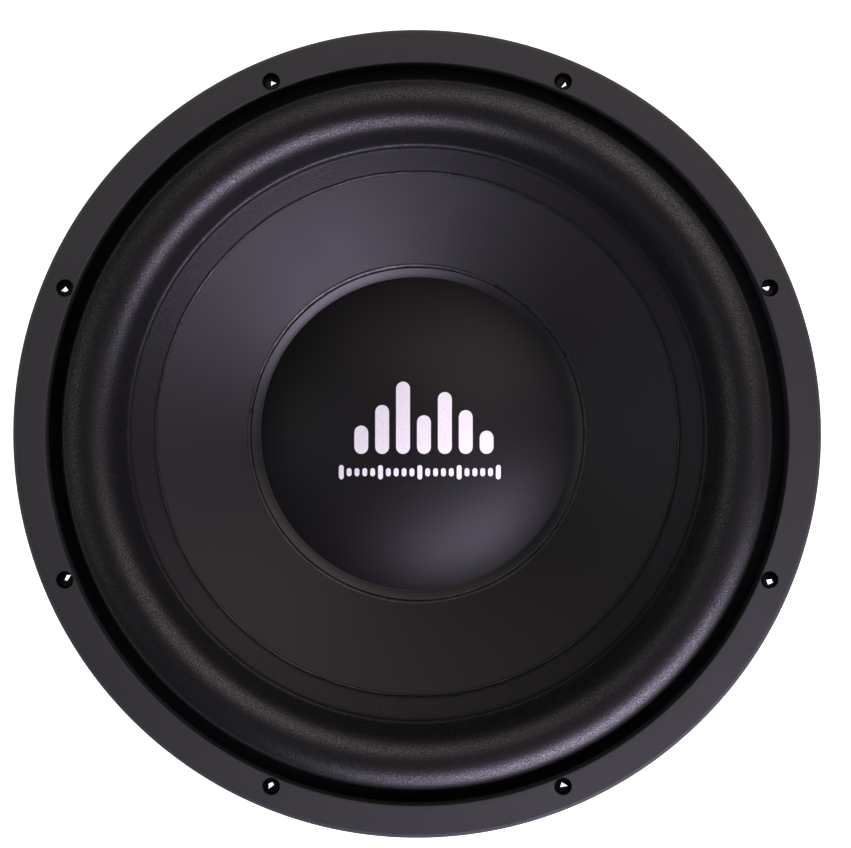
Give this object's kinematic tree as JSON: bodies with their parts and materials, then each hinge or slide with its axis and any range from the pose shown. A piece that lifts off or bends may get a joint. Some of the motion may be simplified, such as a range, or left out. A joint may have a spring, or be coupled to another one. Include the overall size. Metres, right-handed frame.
{
  "type": "car subwoofer speaker",
  "caption": "Round car subwoofer driver with a foam half-roll surround, satin cone, domed dust cap, spoked cast basket, push terminals and a booted magnet.",
  "frame": {"origin": "centre of the mounting holes' circle, on the flange's rear face", "axes": "+Z along the speaker's axis, out of its front; +Y towards terminal a; +X across"},
  "size_m": [0.31, 0.31, 0.1582],
  "materials": {
    "basket_paint": "satin",
    "gasket_rubber": "matte",
    "surround_foam": "matte",
    "cone_satin": "satin",
    "dust_cap_satin": "satin",
    "glue_black": "gloss",
    "glue_amber": "gloss",
    "former_foil": "satin",
    "collar_film": "satin",
    "copper_wire": "satin",
    "contact_brass": "satin",
    "spider_cloth": "matte",
    "spacer_board": "matte",
    "plated_steel": "satin",
    "screw_steel": "satin",
    "ferrite": "matte",
    "boot_rubber": "matte",
    "screen_mesh": "satin",
    "terminal_plastic": "satin",
    "button_red": "gloss",
    "button_black": "gloss",
    "spring_wire": "satin",
    "tinsel_braid": "matte"
  },
  "bodies": {
    "frame_assembly": {"basket_rim": "basket_paint", "basket_spokes": "basket_paint", "basket_neck": "basket_paint", "basket_brackets": "basket_paint", "gasket_ring": "gasket_rubber", "surround": "surround_foam", "spider_upper": "spider_cloth", "spider_lower": "spider_cloth", "spider_spacer_ring": "spacer_board", "top_plate": "plated_steel", "top_plate_screws": "screw_steel", "magnet_front": "ferrite", "magnet_rear": "ferrite", "t_yoke": "plated_steel", "magnet_boot": "boot_rubber", "vent_screen": "screen_mesh", "terminal_screws": "screw_steel", "terminal_a_body": "terminal_plastic", "terminal_a_back": "terminal_plastic", "terminal_a_contacts": "contact_brass", "terminal_b_body": "terminal_plastic", "terminal_b_back": "terminal_plastic", "terminal_b_contacts": "contact_brass", "spring_a_plus": "spring_wire", "spring_a_minus": "spring_wire", "spring_b_plus": "spring_wire", "spring_b_minus": "spring_wire", "tinsel_lead_a_plus": "tinsel_braid", "tinsel_lead_a_minus": "tinsel_braid", "tinsel_lead_b_plus": "tinsel_braid", "tinsel_lead_b_minus": "tinsel_braid"},
    "moving_assembly": {"cone": "cone_satin", "dust_cap": "dust_cap_satin", "dust_cap_glue": "glue_black", "cone_neck_glue": "glue_amber", "voice_coil_former": "former_foil", "former_collar": "collar_film", "voice_coil_inner": "copper_wire", "voice_coil_outer": "copper_wire", "lead_eyelets": "contact_brass", "coil_leads": "copper_wire"},
    "button_a_plus": {"button_a_plus": "button_red"},
    "button_a_minus": {"button_a_minus": "button_black"},
    "button_b_plus": {"button_b_plus": "button_red"},
    "button_b_minus": {"button_b_minus": "button_black"}
  },
  "joints": [
    {"name": "cone_stroke", "type": "slide", "parent": "frame_assembly", "child": "moving_assembly", "axis": [0, 0, 1], "range_m": [-0.012, 0.012], "stiffness_N_per_m": 5000, "deforming": ["surround", "spider_upper", "spider_lower", "tinsel_lead_a_plus", "tinsel_lead_a_minus", "tinsel_lead_b_plus", "tinsel_lead_b_minus"]},
    {"name": "press_a_plus", "type": "slide", "parent": "frame_assembly", "child": "button_a_plus", "axis": [0, -1, 0], "range_m": [0, 0.003], "stiffness_N_per_m": 1200, "springref_m": -0.002, "deforming": ["spring_a_plus"]},
    {"name": "press_a_minus", "type": "slide", "parent": "frame_assembly", "child": "button_a_minus", "axis": [0, -1, 0], "range_m": [0, 0.003], "stiffness_N_per_m": 1200, "springref_m": -0.002, "deforming": ["spring_a_minus"]},
    {"name": "press_b_plus", "type": "slide", "parent": "frame_assembly", "child": "button_b_plus", "axis": [0, 1, 0], "range_m": [0, 0.003], "stiffness_N_per_m": 1200, "springref_m": -0.002, "deforming": ["spring_b_plus"]},
    {"name": "press_b_minus", "type": "slide", "parent": "frame_assembly", "child": "button_b_minus", "axis": [0, 1, 0], "range_m": [0, 0.003], "stiffness_N_per_m": 1200, "springref_m": -0.002, "deforming": ["spring_b_minus"]}
  ]
}
